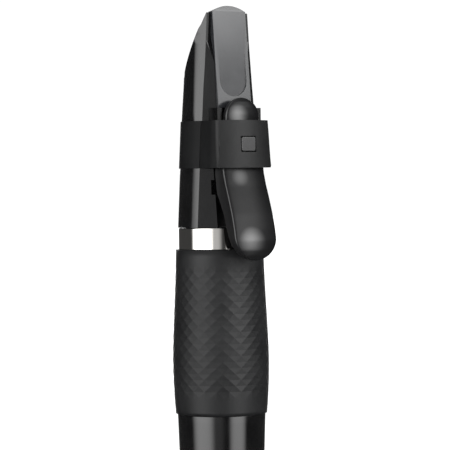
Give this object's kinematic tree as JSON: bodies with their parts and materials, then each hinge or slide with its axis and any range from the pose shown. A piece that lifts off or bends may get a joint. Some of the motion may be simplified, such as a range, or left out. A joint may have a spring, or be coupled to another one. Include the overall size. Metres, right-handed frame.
{
  "type": "capped marker pen",
  "caption": "Capped fibre-tip banknote testing pen with a sprung clip on a beak-shaped cap, a bulged rubber grip and a tapered barrel.",
  "frame": {"origin": "middle of the tail plug's flat end face, on which the pen stands", "axes": "+Z along the pen from the tail to the cap's tip; -Y out of the clip side; +X across the clip"},
  "size_m": [0.0148, 0.0183, 0.14],
  "materials": {
    "gloss_black": "high gloss moulded",
    "grip_rubber": "matt, diamond texture",
    "polished_metal": "polished",
    "section_plastic": "satin",
    "seal_rubber": "matt",
    "nib_fibre": "pressed fibre",
    "reservoir_fibre": "bonded fibre",
    "film": "clear film",
    "liner_plastic": "natural polyethylene",
    "plate_plastic": "smooth gloss",
    "tape": "adhesive foam",
    "collar_soft": "soft-touch matt",
    "satin_plastic": "satin",
    "bracket_plastic": "smooth",
    "pin_steel": "drawn wire",
    "pad_rubber": "matt",
    "spring_steel": "drawn wire"
  },
  "bodies": {
    "pen": {"barrel": "gloss_black", "grip_sleeve": "grip_rubber", "trim_ring": "polished_metal", "section": "section_plastic", "section_seal": "seal_rubber", "nib_sleeve": "section_plastic", "nib": "nib_fibre", "reservoir": "reservoir_fibre", "reservoir_film": "film", "tail_plug": "gloss_black", "plug_seal": "seal_rubber"},
    "cap": {"cap_shell": "gloss_black", "cap_liner": "liner_plastic", "front_plate": "plate_plastic", "plate_tape": "tape", "collar": "collar_soft", "collar_stud": "satin_plastic", "clip_bracket": "bracket_plastic", "clip_pin": "pin_steel", "clip_spring": "spring_steel"},
    "clip": {"clip_lever": "satin_plastic", "clip_pad": "pad_rubber"}
  },
  "joints": [
    {"name": "cap_pull", "type": "slide", "parent": "pen", "child": "cap", "axis": [0, 0, 1], "range_m": [0, 0.03]},
    {"name": "clip_open", "type": "hinge", "parent": "cap", "child": "clip", "pos_m": [0, -0.005, 0.1172], "axis": [-1, 0, 0], "range_deg": [0, 7], "stiffness_Nm_per_rad": 0.05, "springref_deg": -11.46}
  ]
}
